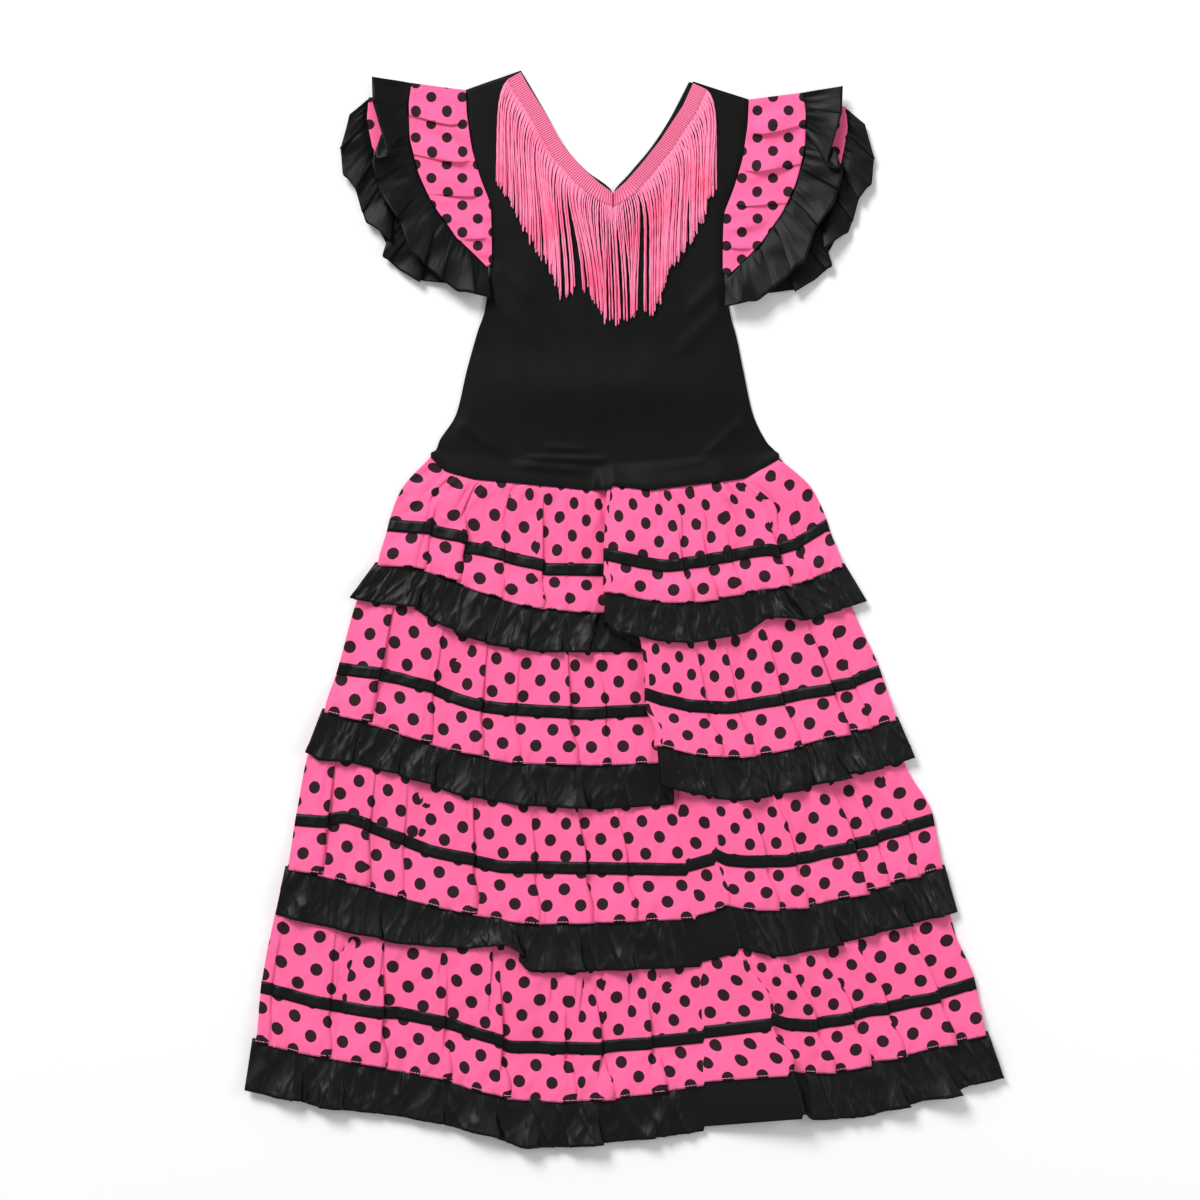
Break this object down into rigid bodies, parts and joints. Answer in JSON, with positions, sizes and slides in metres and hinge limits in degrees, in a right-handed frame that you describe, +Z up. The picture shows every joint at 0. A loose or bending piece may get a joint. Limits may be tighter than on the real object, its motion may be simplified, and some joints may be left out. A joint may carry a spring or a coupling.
{
  "type": "flamenco dress",
  "caption": "Child's flamenco dress laid flat: black knit bodice with fringed V neck, double flutter sleeves, and a tiered dotted skirt with black ruffles.",
  "frame": {"origin": "middle of the dress's outline, on the surface that it lies on", "axes": "+X to the viewer's right of the dress front, +Y up the dress to the neck, +Z up from the surface"},
  "size_m": [0.609, 0.86, 0.0225],
  "materials": {
    "pink_cloth": "plain woven cotton blend, printed with dark dots",
    "black_knit": "matte fine stretch knit",
    "black_satin": "soft satin with grey highlights",
    "pink_fringe": "twisted rayon fringe"
  },
  "bodies": {
    "root": {"bodice_back": "black_knit", "bodice_front": "black_knit", "fringe_left": "pink_fringe", "fringe_right": "pink_fringe", "ribbon_1_back": "black_satin", "ribbon_1_front": "black_satin", "ribbon_2_back": "black_satin", "ribbon_2_front": "black_satin", "ribbon_3_back": "black_satin", "ribbon_3_front": "black_satin", "ribbon_4_back": "black_satin", "ribbon_4_front": "black_satin", "ruffle_1_back": "black_satin", "ruffle_1_front": "black_satin", "ruffle_2_back": "black_satin", "ruffle_2_front": "black_satin", "ruffle_3_back": "black_satin", "ruffle_3_front": "black_satin", "ruffle_4_back": "black_satin", "ruffle_4_front": "black_satin", "sleeve_left_back": "pink_cloth", "sleeve_left_back_ruffle": "black_satin", "sleeve_left_lower": "pink_cloth", "sleeve_left_lower_ruffle": "black_satin", "sleeve_left_upper": "pink_cloth", "sleeve_left_upper_ruffle": "black_satin", "sleeve_right_back": "pink_cloth", "sleeve_right_back_ruffle": "black_satin", "sleeve_right_lower": "pink_cloth", "sleeve_right_lower_ruffle": "black_satin", "sleeve_right_upper": "pink_cloth", "sleeve_right_upper_ruffle": "black_satin", "tier_1_back": "pink_cloth", "tier_1_front": "pink_cloth", "tier_2_back": "pink_cloth", "tier_2_front": "pink_cloth", "tier_3_back": "pink_cloth", "tier_3_front": "pink_cloth", "tier_4_back": "pink_cloth", "tier_4_front": "pink_cloth"}
  },
  "joints": []
}
